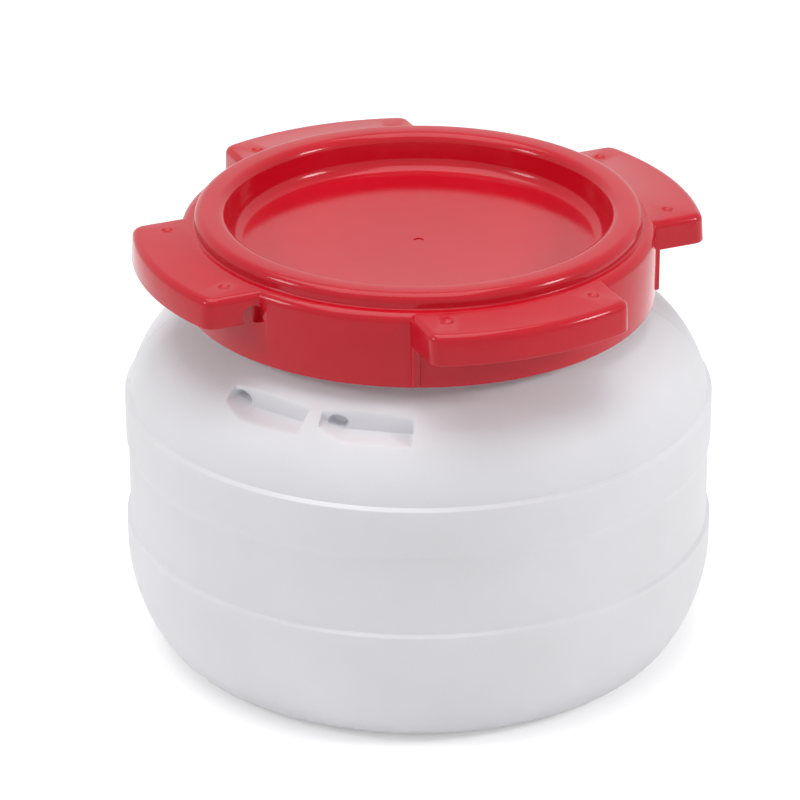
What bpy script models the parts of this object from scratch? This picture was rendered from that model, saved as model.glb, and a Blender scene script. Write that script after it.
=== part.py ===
"""Wide-mouth drum: a blow-moulded body, a ring seal and a moulded screw lid with four grip lugs.

The origin is the middle of the foot, +Z is up, and all lengths are in metres. The front of the drum
is at -Y. The lid and the seal turn about and rise along the Z axis, where their origins lie.
"""

import math

import bmesh
import bpy
from mathutils import Matrix

# Body: the widest radius, the wall and the rounds of the bowl
BODY_RADIUS = 0.0994
BODY_WALL = 0.0022
BOWL_ROUND = 0.0560
HEEL_ROUND = 0.0140
STAND_RING_WIDTH = 0.0130
PUSH_UP_HEIGHT = 0.0040
PUSH_UP_RUN = 0.0060

# Body: the two ridges and the label band between them
LOWER_RIDGE_HEIGHT = 0.0447
RIDGE_SPACING = 0.0452
BOWL_STRAIGHT = 0.0075
UPPER_RIDGE_SET_IN = 0.0004
BAND_SET_IN = 0.0012
SHOULDER_SET_IN = 0.0013
RAISED_BAND_HEIGHT = 0.0160
RIDGE_ROUND = 0.0009
BAND_TAPER = 0.0022

# Body: the shoulder and the neck
SHOULDER_ROUND = 0.0360
SHOULDER_DROP = 0.0058
SHOULDER_SLOPE_DEG = 36.0
NECK_BORE_RADIUS = 0.0680
NECK_WALL = 0.0035
NECK_HEIGHT = 0.0270
NECK_FOOT_ROUND = 0.0020
LIP_ROUND = 0.0010

# Body: the two seal-wire pockets in the shoulder, left of the front
POCKET_AZIMUTHS_DEG = (-126.0, -101.5)
POCKET_WIDTH = 0.0300
POCKET_DEPTH = 0.0083
POCKET_DROP = 0.0132
POCKET_CORNER_WIDTH = 0.0080
POCKET_CORNER_RISE = 0.0026
POCKET_EYE_RADIUS = 0.0020
POCKET_EYE_DEPTH = 0.0012
POCKET_EYE_SET_IN = 0.0052

# Seal: a flat ring between the neck's lip and the lid
SEAL_THICKNESS = 0.0025
SEAL_GAP = 0.0003
SEAL_EDGE = 0.0004

# Lid: the raised ring over the neck's lip, the sunk panel, the flat edge and the skirt
THREAD_ROOM = 0.0048
SKIRT_WALL = 0.0027
SKIRT_HEIGHT = 0.0253
SKIRT_EDGE_ROUND = 0.0032
SKIRT_FOOT_ROUND = 0.0006
CHANNEL_OUTER_CLEARANCE = 0.0006
CHANNEL_INNER_CLEARANCE = 0.0016
LID_WALL = 0.0023
RING_CROWN = 0.0025
RING_OUTER_ROUND = 0.0022
RING_INNER_ROUND = 0.0016
RING_HEIGHT = 0.0049
PANEL_DEPTH = 0.0124
PANEL_FILLET = 0.0020
RECESS_DRAFT = 0.0017

# Lid: the four hollow grip lugs
LUG_COUNT = 4
FIRST_LUG_AZIMUTH_DEG = -66.0
LUG_REACH = 0.0165
LUG_HALF_WIDTH = 0.0345
LUG_HEIGHT = 0.0105
LUG_WALL = 0.0023
LUG_TOP_STEP = 0.0003
LUG_EDGE_ROUND = 0.0022
LUG_CELL_RIB = 0.0018
LUG_CELLS = 3
LUG_ROOT_BITE = 0.0024
GUSSET_WIDTH = 0.0030
GUSSET_REACH = 0.0016
GUSSET_SET_IN = 0.0002
EYE_RADIUS = 0.0035
EYE_SET_OUT = 0.0024
EYE_RISE = 0.0025
EYE_LENGTH = 0.0086

# Counts of the turned shapes
SEGMENTS = 64
ARC_STEP_DEG = 15.0
SMALL_ARC_STEP_DEG = 30.0
LUG_ARC_STEPS = 8
ROD_SIDES = 16
WELD_DISTANCE = 0.000001
CUT_OVERRUN = 0.0040

# Sizes that follow from the ones above
LOWER_RIDGE_Z = LOWER_RIDGE_HEIGHT
UPPER_RIDGE_Z = LOWER_RIDGE_HEIGHT + RIDGE_SPACING
BAND_RADIUS = BODY_RADIUS - BAND_SET_IN
UPPER_RADIUS = BODY_RADIUS - UPPER_RIDGE_SET_IN
SHOULDER_SLOPE = math.radians(SHOULDER_SLOPE_DEG)
NECK_RADIUS = NECK_BORE_RADIUS + NECK_WALL
SHOULDER_WIDTH = BODY_RADIUS - SHOULDER_SET_IN - NECK_RADIUS - NECK_FOOT_ROUND
SHOULDER_BEND = min(SHOULDER_ROUND, SHOULDER_WIDTH / (1 - math.sin(SHOULDER_SLOPE)))
SHOULDER_ARC_RADIUS = BODY_RADIUS - SHOULDER_SET_IN - SHOULDER_BEND
SHOULDER_ARC_Z = UPPER_RIDGE_Z - SHOULDER_DROP


def cone_height(radius, inset):
    """Height of the shoulder's cone at a radius, for the wall line that lies inset below the outside."""
    bend = SHOULDER_BEND - inset
    end_radius = SHOULDER_ARC_RADIUS + bend * math.sin(SHOULDER_SLOPE)
    end_height = SHOULDER_ARC_Z + bend * math.cos(SHOULDER_SLOPE)
    return end_height + (end_radius - radius) * math.tan(SHOULDER_SLOPE)


NECK_TOP_Z = cone_height(NECK_RADIUS, 0.0) + NECK_HEIGHT

SEAL_FOOT_Z = NECK_TOP_Z + SEAL_GAP
CHANNEL_ROOF_Z = SEAL_FOOT_Z + SEAL_THICKNESS + SEAL_GAP
CHANNEL_OUTER_RADIUS = NECK_RADIUS + CHANNEL_OUTER_CLEARANCE
CHANNEL_INNER_RADIUS = NECK_BORE_RADIUS - CHANNEL_INNER_CLEARANCE
RING_TOP_Z = CHANNEL_ROOF_Z + RING_CROWN
RING_OUTER_RADIUS = CHANNEL_OUTER_RADIUS + LID_WALL
RING_INNER_RADIUS = CHANNEL_INNER_RADIUS - LID_WALL
PLATEAU_Z = RING_TOP_Z - RING_HEIGHT
PANEL_Z = RING_TOP_Z - PANEL_DEPTH
PANEL_FOOT_Z = PANEL_Z - LID_WALL
SKIRT_BORE_RADIUS = NECK_RADIUS + THREAD_ROOM
SKIRT_RADIUS = SKIRT_BORE_RADIUS + SKIRT_WALL
SKIRT_FOOT_Z = PLATEAU_Z - SKIRT_HEIGHT
LUG_RADIUS = SKIRT_RADIUS + LUG_REACH
LUG_ROOT_RADIUS = SKIRT_RADIUS - LUG_ROOT_BITE
LUG_TOP_Z = PLATEAU_Z - LUG_TOP_STEP
LUG_FOOT_Z = PLATEAU_Z - LUG_HEIGHT


def clear_scene():
    """Remove everything that the scene holds."""
    for item in list(bpy.data.objects):
        bpy.data.objects.remove(item, do_unlink=True)


def plastic(name, colour, roughness):
    """A material of one moulded plastic."""
    material = bpy.data.materials.new(name)
    material.use_nodes = True
    shader = material.node_tree.nodes["Principled BSDF"]
    shader.inputs["Base Color"].default_value = (*colour, 1.0)
    shader.inputs["Roughness"].default_value = roughness
    shader.inputs["Metallic"].default_value = 0.0
    return material


def arc(centre, radius, start_deg, end_deg, step_deg=ARC_STEP_DEG):
    """Points of an arc in the radius-height plane, its angles measured from outwards to upwards."""
    steps = max(1, math.ceil(abs(end_deg - start_deg) / step_deg))
    points = []
    for index in range(steps + 1):
        angle = math.radians(start_deg + (end_deg - start_deg) * index / steps)
        points.append((centre[0] + radius * math.cos(angle), centre[1] + radius * math.sin(angle)))
    return points


def mesh_object(name, bm, material=None):
    """Make an object of a finished bmesh, with its faces pointing out and its round sides smooth."""
    bmesh.ops.recalc_face_normals(bm, faces=bm.faces)
    mesh = bpy.data.meshes.new(name)
    bm.to_mesh(mesh)
    bm.free()
    mesh.shade_smooth()
    mesh.set_sharp_from_angle(angle=math.radians(ARC_STEP_DEG * 2))
    if material:
        mesh.materials.append(material)
    item = bpy.data.objects.new(name, mesh)
    bpy.context.scene.collection.objects.link(item)
    return item


def turned(outline, closed=False):
    """Spin an outline of radius and height points into a round shape about Z."""
    bm = bmesh.new()
    verts = [bm.verts.new((radius, 0.0, height)) for radius, height in outline]
    edges = [bm.edges.new(pair) for pair in zip(verts, verts[1:])]
    if closed:
        edges.append(bm.edges.new((verts[-1], verts[0])))
    bmesh.ops.spin(bm, geom=verts + edges, cent=(0, 0, 0), axis=(0, 0, 1), angle=math.tau,
                   steps=SEGMENTS, use_merge=True)
    bmesh.ops.remove_doubles(bm, verts=bm.verts, dist=WELD_DISTANCE)
    return bm


def cutter(name, bm):
    """An object that only cuts or joins, hidden from the finished model."""
    item = mesh_object(name, bm)
    item.hide_render = True
    item.display_type = 'WIRE'
    return item


def apply_tool(target, tool, operation):
    """Let a tool object cut or join its target."""
    modifier = target.modifiers.new(tool.name, 'BOOLEAN')
    modifier.operation = operation
    modifier.solver = 'EXACT'
    modifier.object = tool


def bowl_line(inset):
    """The wall line from the middle of the base up to the lower ridge, inset below the outside."""
    bowl_centre = (BODY_RADIUS - BOWL_ROUND, LOWER_RIDGE_Z - BOWL_STRAIGHT)
    drop = bowl_centre[1] - HEEL_ROUND
    reach = math.sqrt((BOWL_ROUND - HEEL_ROUND) ** 2 - drop ** 2)
    heel_centre = (bowl_centre[0] + reach, HEEL_ROUND)
    meet_deg = -math.degrees(math.atan2(drop, reach))
    stand_inner = heel_centre[0] - STAND_RING_WIDTH
    points = [(0.0, PUSH_UP_HEIGHT + inset)]
    points.append((stand_inner - PUSH_UP_RUN, PUSH_UP_HEIGHT + inset))
    points.append((stand_inner, inset))
    points += arc(heel_centre, HEEL_ROUND - inset, -90.0, meet_deg)
    points += arc(bowl_centre, BOWL_ROUND - inset, meet_deg, 0.0)[1:]
    return points


def ridge_line():
    """The outside from the lower ridge up to the foot of the shoulder."""
    lower = (BODY_RADIUS, LOWER_RIDGE_Z)
    upper = (UPPER_RADIUS, UPPER_RIDGE_Z)
    raised_foot_z = UPPER_RIDGE_Z - RAISED_BAND_HEIGHT
    shoulder_foot = UPPER_RIDGE_Z + RIDGE_ROUND
    return [
        (lower[0], lower[1] - RIDGE_ROUND),
        (lower[0] - RIDGE_ROUND / 3, lower[1]),
        (BAND_RADIUS, lower[1] + RIDGE_ROUND),
        (BAND_RADIUS, raised_foot_z - BAND_TAPER),
        (upper[0], raised_foot_z),
        (upper[0], upper[1] - RIDGE_ROUND),
        (upper[0] - RIDGE_ROUND / 3, upper[1]),
        (shoulder_radius(shoulder_foot, 0.0), shoulder_foot),
    ]


def shoulder_angle_deg(height, inset):
    """Where a height lies on the shoulder's round edge, as an angle from outwards to upwards."""
    return math.degrees(math.asin((height - SHOULDER_ARC_Z) / (SHOULDER_BEND - inset)))


def shoulder_radius(height, inset):
    """Radius of the shoulder at a height, on its round edge or its cone."""
    if height < cone_height(SHOULDER_ARC_RADIUS + SHOULDER_BEND * math.sin(SHOULDER_SLOPE), 0.0):
        angle = math.radians(shoulder_angle_deg(height, inset))
        return SHOULDER_ARC_RADIUS + (SHOULDER_BEND - inset) * math.cos(angle)
    return NECK_RADIUS + (cone_height(NECK_RADIUS, inset) - height) / math.tan(SHOULDER_SLOPE)


def shoulder_line(inset, start_z, neck_radius):
    """The wall line from the foot of the shoulder up its cone to the foot of the neck."""
    centre = (SHOULDER_ARC_RADIUS, SHOULDER_ARC_Z)
    start_deg = shoulder_angle_deg(start_z, inset)
    points = arc(centre, SHOULDER_BEND - inset, start_deg, 90.0 - SHOULDER_SLOPE_DEG)
    round_radius = neck_radius + NECK_FOOT_ROUND
    points.append((round_radius, cone_height(round_radius, inset)))
    points.append((neck_radius, cone_height(neck_radius, inset) + NECK_FOOT_ROUND))
    return points


def body_outside():
    """The body's outer line, from the middle of its base to the middle of its neck's mouth."""
    points = bowl_line(0.0) + ridge_line()
    points += shoulder_line(0.0, UPPER_RIDGE_Z + RIDGE_ROUND, NECK_RADIUS)[1:]
    points += arc((NECK_RADIUS - LIP_ROUND, NECK_TOP_Z - LIP_ROUND), LIP_ROUND, 0.0, 90.0,
                  SMALL_ARC_STEP_DEG)
    points.append((0.0, NECK_TOP_Z))
    return points


def body_inside():
    """The line round the body's hollow, from the middle of its floor up out of the neck's mouth."""
    points = bowl_line(BODY_WALL)
    points.append((BAND_RADIUS - BODY_WALL, LOWER_RIDGE_Z))
    points.append((BAND_RADIUS - BODY_WALL, UPPER_RIDGE_Z - RAISED_BAND_HEIGHT))
    points += shoulder_line(BODY_WALL, UPPER_RIDGE_Z, NECK_BORE_RADIUS)
    lip_centre = (NECK_BORE_RADIUS + LIP_ROUND, NECK_TOP_Z - LIP_ROUND)
    points += arc(lip_centre, LIP_ROUND, 180.0, 90.0, SMALL_ARC_STEP_DEG)
    points.append((NECK_BORE_RADIUS + LIP_ROUND, NECK_TOP_Z + CUT_OVERRUN))
    points.append((0.0, NECK_TOP_Z + CUT_OVERRUN))
    return points


def pocket_tool(name, azimuth_deg, grow):
    """A block with an upright back and a level foot, one lower corner cut off, that cuts a pocket.

    It is grown on every side by the wall where it shapes the hollow behind the pocket.
    """
    floor_z = cone_height(NECK_RADIUS, 0.0) - POCKET_DROP
    back = shoulder_radius(floor_z, 0.0) - POCKET_DEPTH - grow
    half = POCKET_WIDTH / 2 + grow
    foot = floor_z - grow
    head = cone_height(NECK_RADIUS, 0.0) + grow
    outline = [
        (half, foot), (half, head), (-half, head),
        (-half, foot + POCKET_CORNER_RISE), (POCKET_CORNER_WIDTH - half, foot),
    ]
    bm = bmesh.new()
    face = bm.faces.new([bm.verts.new((back, along, height)) for along, height in outline])
    drawn = bmesh.ops.extrude_face_region(bm, geom=[face], use_keep_orig=True)
    verts = [item for item in drawn["geom"] if isinstance(item, bmesh.types.BMVert)]
    bmesh.ops.translate(bm, verts=verts, vec=(BODY_RADIUS - back, 0.0, 0.0))
    turn = Matrix.Rotation(math.radians(azimuth_deg), 3, 'Z')
    bmesh.ops.rotate(bm, verts=bm.verts, cent=(0, 0, 0), matrix=turn)
    return cutter(name, bm)


def pocket_eye_tool(name, azimuth_deg):
    """A short round pit in a pocket's back, at its left end, where the seal wire starts."""
    floor_z = cone_height(NECK_RADIUS, 0.0) - POCKET_DROP
    back = shoulder_radius(floor_z, 0.0) - POCKET_DEPTH
    length = POCKET_EYE_DEPTH + CUT_OVERRUN
    place = (back - POCKET_EYE_DEPTH + length / 2, POCKET_EYE_SET_IN - POCKET_WIDTH / 2,
             floor_z + POCKET_EYE_RADIUS + POCKET_CORNER_RISE / 2)
    return rod_tool(name, POCKET_EYE_RADIUS, length, (0.0, 1.0, 0.0), place, math.radians(azimuth_deg))


def rod_tool(name, radius, length, tip_axis, place, azimuth):
    """A round cutter, tipped over about an axis, placed on the +X side and turned to its azimuth."""
    bm = bmesh.new()
    bmesh.ops.create_cone(bm, cap_ends=True, cap_tris=False, segments=ROD_SIDES,
                          radius1=radius, radius2=radius, depth=length)
    bmesh.ops.rotate(bm, verts=bm.verts, cent=(0, 0, 0),
                     matrix=Matrix.Rotation(math.pi / 2, 3, tip_axis))
    bmesh.ops.translate(bm, vec=place, verts=bm.verts)
    bmesh.ops.rotate(bm, verts=bm.verts, cent=(0, 0, 0), matrix=Matrix.Rotation(azimuth, 3, 'Z'))
    return cutter(name, bm)


def drum_body(material):
    """The hollow body, one wall from its pushed-up base to the lip of its neck, with two pockets."""
    body = mesh_object("drum_body", turned(body_outside()), material)
    hollow = cutter("hollow", turned(body_inside()))
    for index, azimuth_deg in enumerate(POCKET_AZIMUTHS_DEG):
        apply_tool(hollow, pocket_tool(f"pocket_wall_{index + 1}", azimuth_deg, BODY_WALL), 'DIFFERENCE')
    apply_tool(body, hollow, 'DIFFERENCE')
    for index, azimuth_deg in enumerate(POCKET_AZIMUTHS_DEG):
        apply_tool(body, pocket_tool(f"pocket_cut_{index + 1}", azimuth_deg, 0.0), 'DIFFERENCE')
        apply_tool(body, pocket_eye_tool(f"pocket_eye_{index + 1}", azimuth_deg), 'DIFFERENCE')
    return body


def lid_seal(material):
    """The flat ring that the lid presses on the neck's lip."""
    inner, outer = CHANNEL_INNER_RADIUS + SEAL_GAP, CHANNEL_OUTER_RADIUS - SEAL_GAP
    foot, head = SEAL_FOOT_Z, SEAL_FOOT_Z + SEAL_THICKNESS
    outline = [
        (inner, foot + SEAL_EDGE), (inner + SEAL_EDGE, foot),
        (outer - SEAL_EDGE, foot), (outer, foot + SEAL_EDGE),
        (outer, head - SEAL_EDGE), (outer - SEAL_EDGE, head),
        (inner + SEAL_EDGE, head), (inner, head - SEAL_EDGE),
    ]
    return mesh_object("lid_seal", turned(outline, closed=True), material)


def lid_outside():
    """The lid's upper and outer line, from the middle of its panel to the foot of its skirt."""
    floor_radius = RING_INNER_RADIUS - RECESS_DRAFT
    ring_inner = (RING_INNER_RADIUS + RING_INNER_ROUND, RING_TOP_Z - RING_INNER_ROUND)
    ring_outer = (RING_OUTER_RADIUS - RING_OUTER_ROUND, RING_TOP_Z - RING_OUTER_ROUND)
    edge = (SKIRT_RADIUS - SKIRT_EDGE_ROUND, PLATEAU_Z - SKIRT_EDGE_ROUND)
    foot = (SKIRT_RADIUS - SKIRT_FOOT_ROUND, SKIRT_FOOT_Z + SKIRT_FOOT_ROUND)
    points = [(0.0, PANEL_Z), (floor_radius - PANEL_FILLET, PANEL_Z)]
    points += arc((floor_radius - PANEL_FILLET, PANEL_Z + PANEL_FILLET), PANEL_FILLET, -45.0, 0.0)
    points += arc(ring_inner, RING_INNER_ROUND, 180.0, 90.0, SMALL_ARC_STEP_DEG)
    points += arc(ring_outer, RING_OUTER_ROUND, 90.0, 0.0, SMALL_ARC_STEP_DEG)
    points.append((RING_OUTER_RADIUS, PLATEAU_Z))
    points += arc(edge, SKIRT_EDGE_ROUND, 90.0, 0.0, SMALL_ARC_STEP_DEG)
    points += arc(foot, SKIRT_FOOT_ROUND, 0.0, -90.0, SMALL_ARC_STEP_DEG)
    return points


def lid_inside():
    """The lid's inner line, from the foot of its skirt over the neck's channel to under its panel."""
    plateau_under = PLATEAU_Z - LID_WALL
    plug_radius = CHANNEL_INNER_RADIUS - RECESS_DRAFT
    return [
        (SKIRT_BORE_RADIUS, SKIRT_FOOT_Z),
        (SKIRT_BORE_RADIUS, plateau_under),
        (CHANNEL_OUTER_RADIUS, plateau_under),
        (CHANNEL_OUTER_RADIUS, CHANNEL_ROOF_Z),
        (CHANNEL_INNER_RADIUS, CHANNEL_ROOF_Z),
        (plug_radius, PANEL_FOOT_Z + PANEL_FILLET),
        (plug_radius - PANEL_FILLET, PANEL_FOOT_Z),
        (0.0, PANEL_FOOT_Z),
    ]


def lug_plan():
    """A lug seen from above, pointing along +X: a round root, straight sides and a round outside."""
    points = []
    for radius, direction in ((LUG_ROOT_RADIUS, -1), (LUG_RADIUS, 1)):
        half = math.asin(LUG_HALF_WIDTH / radius)
        for index in range(LUG_ARC_STEPS + 1):
            angle = direction * half * (2 * index / LUG_ARC_STEPS - 1)
            points.append((radius * math.cos(angle), radius * math.sin(angle)))
    return points


def lug_tool(name, turn):
    """One grip lug: a rounded block, hollowed from below into cells with ribs between them."""
    bm = bmesh.new()
    floor = bm.faces.new([bm.verts.new((x, y, LUG_FOOT_Z)) for x, y in lug_plan()])
    lifted = bmesh.ops.extrude_face_region(bm, geom=[floor], use_keep_orig=True)
    raised = [item for item in lifted["geom"] if isinstance(item, bmesh.types.BMVert)]
    bmesh.ops.translate(bm, verts=raised, vec=(0.0, 0.0, LUG_TOP_Z - LUG_FOOT_Z))
    bmesh.ops.recalc_face_normals(bm, faces=bm.faces)
    round_lug_edges(bm)
    hollow_lug(bm)
    bmesh.ops.rotate(bm, verts=bm.verts, cent=(0, 0, 0), matrix=turn)
    bmesh.ops.triangulate(bm, faces=bm.faces)
    return cutter(name, bm)


def round_lug_edges(bm):
    """Round the lug's outer corners and the outer edge of its top."""
    root_limit = SKIRT_RADIUS + LUG_EDGE_ROUND
    chosen = []
    for edge in bm.edges:
        ends = [math.hypot(*vert.co.xy) for vert in edge.verts]
        upright = abs(edge.verts[0].co.z - edge.verts[1].co.z) > LUG_EDGE_ROUND
        corner = upright and edge.calc_face_angle() > math.radians(45)
        on_top = min(vert.co.z for vert in edge.verts) > LUG_TOP_Z - WELD_DISTANCE
        if max(ends) > root_limit and (corner or on_top):
            chosen.append(edge)
    bmesh.ops.bevel(bm, geom=chosen, offset=LUG_EDGE_ROUND, offset_type='OFFSET', affect='EDGES',
                    segments=2, profile=0.5, material=-1, clamp_overlap=True)


def hollow_lug(bm):
    """Sink the cells into the lug's underside, leaving its walls and the ribs between them."""
    pitch = 2 * LUG_HALF_WIDTH / LUG_CELLS
    for index in range(1, LUG_CELLS):
        place = -LUG_HALF_WIDTH + pitch * index
        under = lug_underside(bm)
        geom = under + list({edge for face in under for edge in face.edges})
        geom += list({vert for face in under for vert in face.verts})
        bmesh.ops.bisect_plane(bm, geom=geom, dist=WELD_DISTANCE, plane_co=(0.0, place, 0.0),
                               plane_no=(0.0, 1.0, 0.0))
    half_rib = LUG_CELL_RIB / 2
    bmesh.ops.inset_region(bm, faces=lug_underside(bm), thickness=LUG_WALL - half_rib,
                           use_boundary=True, use_even_offset=True)
    inner = sorted(lug_underside(bm), key=lambda face: -face.calc_area())[:LUG_CELLS]
    bmesh.ops.inset_individual(bm, faces=inner, thickness=half_rib, use_even_offset=True)
    cells = bmesh.ops.extrude_discrete_faces(bm, faces=inner)["faces"]
    lift = LUG_TOP_Z - LUG_WALL - LUG_FOOT_Z
    bmesh.ops.translate(bm, verts=list({vert for face in cells for vert in face.verts}),
                        vec=(0.0, 0.0, lift))


def lug_underside(bm):
    """The faces that lie flat at the lug's foot."""
    limit = LUG_FOOT_Z + WELD_DISTANCE
    return [face for face in bm.faces if max(vert.co.z for vert in face.verts) < limit]


def gusset_tool(name, turn):
    """The upright rib that carries a lug's end wall on down the skirt."""
    middle = math.sqrt(SKIRT_RADIUS ** 2 - LUG_HALF_WIDTH ** 2)
    inner = middle - SKIRT_WALL / 2
    outer = middle + GUSSET_REACH
    foot, head = SKIRT_FOOT_Z + SKIRT_FOOT_ROUND, LUG_FOOT_Z + LUG_WALL
    bm = bmesh.new()
    bmesh.ops.create_cube(bm, size=1.0)
    size = (outer - inner, GUSSET_WIDTH, head - foot)
    place = -LUG_HALF_WIDTH + GUSSET_SET_IN + GUSSET_WIDTH / 2
    centre = ((inner + outer) / 2, place, (foot + head) / 2)
    bmesh.ops.scale(bm, vec=size, verts=bm.verts)
    bmesh.ops.translate(bm, vec=centre, verts=bm.verts)
    bmesh.ops.rotate(bm, verts=bm.verts, cent=(0, 0, 0), matrix=turn)
    return cutter(name, bm)


def eye_tool(name, azimuth):
    """The round way through a lug's other end wall, for a seal wire."""
    middle = math.sqrt(SKIRT_RADIUS ** 2 - LUG_HALF_WIDTH ** 2)
    start = LUG_HALF_WIDTH - LUG_WALL - WELD_DISTANCE
    place = (middle + EYE_SET_OUT, start + EYE_LENGTH / 2, LUG_FOOT_Z + EYE_RISE)
    return rod_tool(name, EYE_RADIUS, EYE_LENGTH, (1.0, 0.0, 0.0), place, azimuth)


def screw_lid(material):
    """The lid in one piece: the turned cap with its lugs, gussets and seal-wire eyes."""
    lid = mesh_object("screw_lid", turned(lid_outside() + lid_inside()), material)
    for index in range(LUG_COUNT):
        azimuth = math.radians(FIRST_LUG_AZIMUTH_DEG) + math.tau * index / LUG_COUNT
        turn = Matrix.Rotation(azimuth, 3, 'Z')
        apply_tool(lid, lug_tool(f"lug_{index + 1}", turn), 'UNION')
        apply_tool(lid, gusset_tool(f"gusset_{index + 1}", turn), 'UNION')
        apply_tool(lid, eye_tool(f"eye_{index + 1}", azimuth), 'DIFFERENCE')
    return lid


def main():
    """Build the three pieces where they sit when the drum is closed."""
    clear_scene()
    drum_body(plastic("drum_white", (0.84, 0.84, 0.87), 0.38))
    lid_seal(plastic("seal_grey", (0.62, 0.62, 0.60), 0.70))
    screw_lid(plastic("lid_red", (0.70, 0.03, 0.06), 0.30))


main()
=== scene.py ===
"""Wide-mouth drum of blown plastic with a moulded screw lid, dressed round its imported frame.

Lengths are in metres, +Z is up and the front of the drum is at -Y.
"""

import math

import bmesh
import bpy
from bpy.props import FloatProperty, FloatVectorProperty, IntProperty, PointerProperty
from mathutils import Matrix, Vector


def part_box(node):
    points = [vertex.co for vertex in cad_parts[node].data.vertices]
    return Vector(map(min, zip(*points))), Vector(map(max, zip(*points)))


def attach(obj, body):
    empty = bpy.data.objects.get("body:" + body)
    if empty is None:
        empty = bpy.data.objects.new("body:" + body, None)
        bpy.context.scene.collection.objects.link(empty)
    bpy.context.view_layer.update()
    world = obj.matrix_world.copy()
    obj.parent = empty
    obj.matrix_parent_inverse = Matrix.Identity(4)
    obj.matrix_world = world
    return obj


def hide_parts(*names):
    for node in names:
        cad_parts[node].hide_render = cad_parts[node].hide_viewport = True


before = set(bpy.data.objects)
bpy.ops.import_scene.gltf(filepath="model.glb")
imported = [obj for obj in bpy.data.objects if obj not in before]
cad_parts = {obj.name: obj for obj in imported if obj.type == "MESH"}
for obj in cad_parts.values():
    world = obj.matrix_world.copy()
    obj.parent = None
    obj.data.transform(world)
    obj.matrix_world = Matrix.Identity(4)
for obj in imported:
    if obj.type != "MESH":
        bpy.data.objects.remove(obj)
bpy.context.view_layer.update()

bl_info = {
    "name": "Wide-mouth drum",
    "version": (1, 0, 0),
    "blender": (4, 5, 0),
    "location": "3D View > Sidebar > Drum",
    "description": "Builds a blown drum, its seal and its screw lid with grip lugs",
    "category": "Add Mesh",
}

# Body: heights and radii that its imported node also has
LOWER_RIDGE_Z = 0.0447
UPPER_RIDGE_Z = 0.0899
BOWL_STRAIGHT = 0.0075
BAND_SET_IN = 0.0012
UPPER_SET_IN = 0.0004
SHOULDER_SET_IN = 0.0013
SHOULDER_DROP = 0.0058
SHOULDER_SLOPE = math.radians(36.0)
RAISED_BAND_HEIGHT = 0.0160
BAND_TAPER = 0.0022
RIDGE_ROUND = 0.0009
STAND_RING_WIDTH = 0.0130
PUSH_UP_RUN = 0.0060
NECK_BORE = 0.0680
NECK_RADIUS = 0.0715
LIP_ROUND = 0.0010

# Body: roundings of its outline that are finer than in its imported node
RIDGE_EDGE = 0.0005
RIDGE_FOOT_ROUND = 0.0007
BAND_BLEND = 0.0040
NECK_FOOT_ROUND = 0.0028
NECK_FOOT_INNER_ROUND = 0.0020

# Body: each pocket's azimuth and how far its pit lies from its left end, and their shared sizes
POCKETS = ((math.radians(-126.0), 0.0030), (math.radians(-101.5), 0.0050))
POCKET_SECTOR = (math.radians(-141.0), math.radians(-86.5))
POCKET_CORNER_WIDTH = 0.0080
POCKET_CORNER_RISE = 0.0026
POCKET_EDGE = 0.00045
POCKET_RIM = 0.00070
POCKET_ROWS_BELOW = 0.0045
POCKET_ROW_OUTSIDE = 0.00045
POCKET_ROW_INSIDE = 0.0010
PIT_RADIUS = 0.0024
PIT_EDGE = 0.0005
PIT_STRETCH = 1.25

# The seam under the base, and the threads of neck and lid; shares are of a ridge's height or width
SEAM_LENGTH = 0.0900
SEAM_WIDTH = 0.0016
SEAM_HEIGHT = 0.0006
SEAM_ROUND = SEAM_HEIGHT * 0.8
THREAD_START_Z = 0.1285
THREAD_ROOT_SINK = 0.0007
THREAD_SHOULDER_SHARE = 0.55
THREAD_SHOULDER_SPREAD = 0.30
THREAD_CREST_SPREAD = 0.13
THREAD_TURN_STEPS = 120
THREAD_TIP_SHARE = 0.02
THREAD_TAPER_START = -0.01
THREAD_TURNS = 1.05
THREAD_PITCH_SHIFT = 0.00325
THREAD_TAPER_TURN = 0.06

# Lid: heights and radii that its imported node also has
CHANNEL_OUTER = 0.0721
CHANNEL_INNER = 0.0664
CHANNEL_ROOF_Z = 0.151869
RING_TOP_Z = 0.154369
RING_OUTER = 0.0744
RING_INNER = 0.0641
PLATEAU_Z = 0.149469
PANEL_Z = 0.141969
LID_WALL = 0.0023
RECESS_DRAFT = 0.0017
SKIRT_BORE = 0.0763
SKIRT_RADIUS = 0.0790
SKIRT_FOOT_Z = 0.124169
LUG_TOP_Z = 0.149169
LUG_FOOT_Z = 0.138969
LUG_HALF_WIDTH = 0.0345
LUG_COUNT = 4
FIRST_LUG_AZIMUTH = math.radians(-66.0)

# Lid: roundings of its outline
PANEL_FILLET = 0.0046
RING_INNER_ROUND = 0.0034
RING_OUTER_ROUND = 0.0030
RING_FOOT_ROUND = 0.0006
SKIRT_FOOT_ROUND = 0.0007
SKIRT_BORE_ROUND = 0.0005
PLUG_ROUND = 0.0020

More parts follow.
